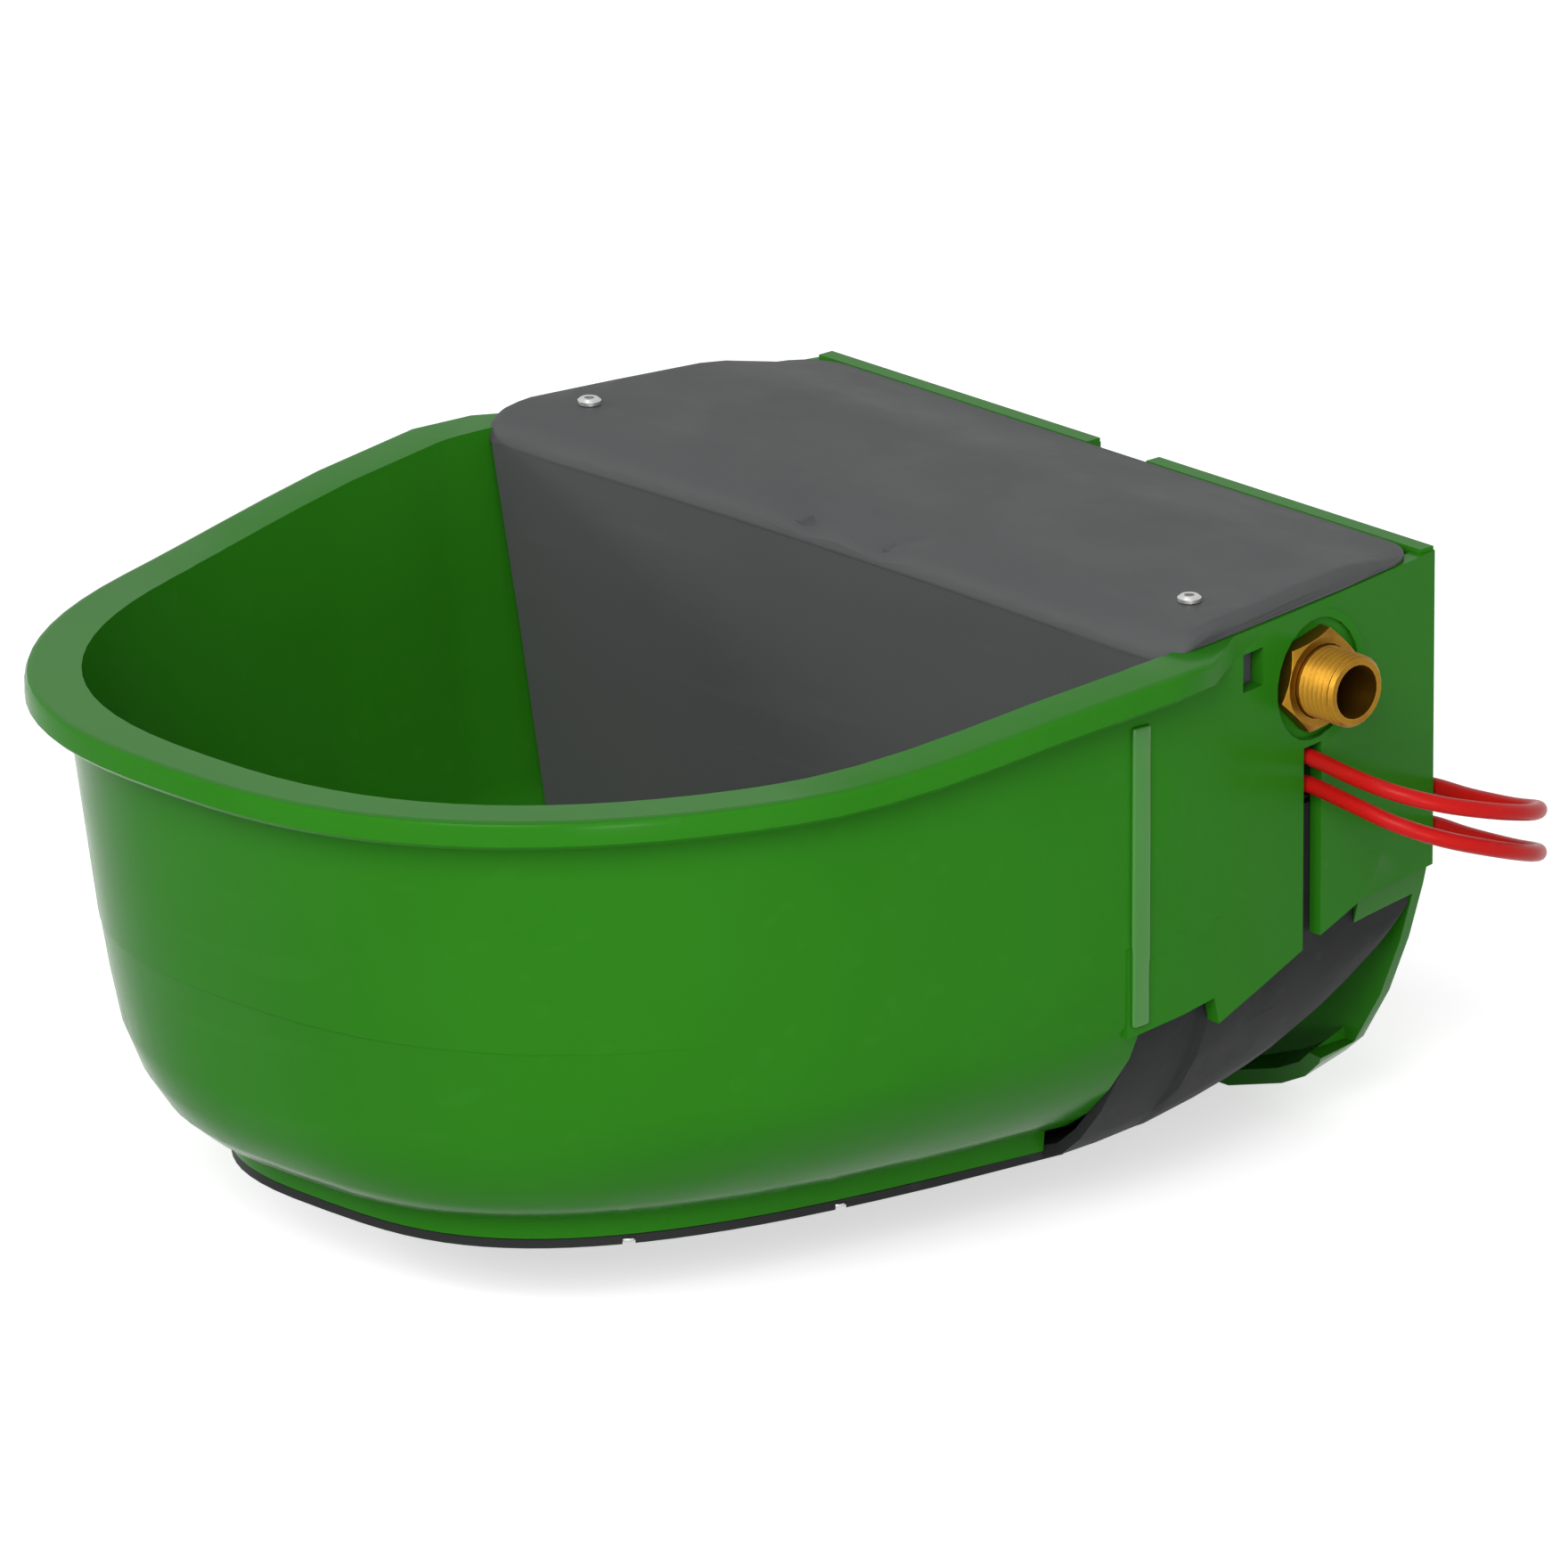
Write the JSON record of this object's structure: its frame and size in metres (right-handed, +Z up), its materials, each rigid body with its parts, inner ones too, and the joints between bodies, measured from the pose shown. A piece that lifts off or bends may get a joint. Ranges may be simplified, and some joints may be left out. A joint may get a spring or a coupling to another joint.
{
  "type": "livestock drinking bowl",
  "caption": "Wall-mounted animal drinking bowl with float valve, float cover, side water inlet, frost heater and looped pipe heating cable.",
  "frame": {"origin": "middle of the central wall pad, on the plane of the wall", "axes": "+Y into the wall, +Z up, +X towards the water inlet; the bowl stands out along -Y"},
  "size_m": [0.3335, 0.371, 0.1804],
  "materials": {
    "green_plastic": "glossy moulded polymer",
    "grey_plastic": "satin moulded polymer",
    "black_plastic": "matt moulded polymer",
    "white_plastic": "satin moulded polymer",
    "insulation_foam": "closed-cell foam",
    "rubber": "matt rubber",
    "red_silicone": "smooth silicone sheath",
    "brass": "turned brass",
    "stainless_steel": "bright stainless steel",
    "aluminium": "rolled sheet"
  },
  "bodies": {
    "bowl": {"trough_body": "green_plastic", "screw_insert_right": "brass", "screw_insert_left": "brass", "under_cover": "grey_plastic", "under_cover_screw_1": "stainless_steel", "under_cover_screw_2": "stainless_steel", "under_cover_screw_3": "stainless_steel", "under_cover_screw_4": "stainless_steel", "under_cover_screw_5": "stainless_steel", "under_cover_screw_6": "stainless_steel", "heater_plate": "aluminium", "floor_heating_cable": "red_silicone", "insulation_pad": "insulation_foam", "thermostat": "black_plastic", "thermostat_bracket": "grey_plastic", "lead_gland": "black_plastic", "lead_gland_nut": "black_plastic", "inlet_valve_body": "brass", "inlet_lock_nut": "brass", "inlet_gasket": "rubber", "valve_nozzle": "brass", "float_pivot_pin": "stainless_steel", "pivot_clip": "stainless_steel", "pipe_heating_cable": "red_silicone"},
    "cover": {"float_cover": "grey_plastic", "cover_screw_right": "stainless_steel", "cover_screw_left": "stainless_steel"},
    "float_lever": {"float_arm": "stainless_steel", "float": "white_plastic", "float_level_screw": "stainless_steel", "float_level_nut": "white_plastic"},
    "plunger": {"valve_plunger": "white_plastic", "plunger_seal": "rubber"},
    "drain": {"drain_plug": "black_plastic", "drain_plug_ring": "rubber"}
  },
  "joints": [
    {"name": "cover_lift", "type": "slide", "parent": "bowl", "child": "cover", "axis": [0, 0, 1], "range_m": [0, 0.125]},
    {"name": "float_swing", "type": "hinge", "parent": "bowl", "child": "float_lever", "pos_m": [0.084, -0.065, 0.0605], "axis": [0, 1, 0], "range_deg": [-12, 0]},
    {"name": "plunger_slide", "type": "slide", "parent": "bowl", "child": "plunger", "axis": [1, 0, 0], "range_m": [-0.0022, 0]},
    {"name": "drain_pull", "type": "slide", "parent": "bowl", "child": "drain", "axis": [0, 0, 1], "range_m": [0, 0.06]}
  ],
  "couplings": [
    {"joint": "plunger_slide", "follows": "float_swing", "m_per_rad": 0.01}
  ]
}
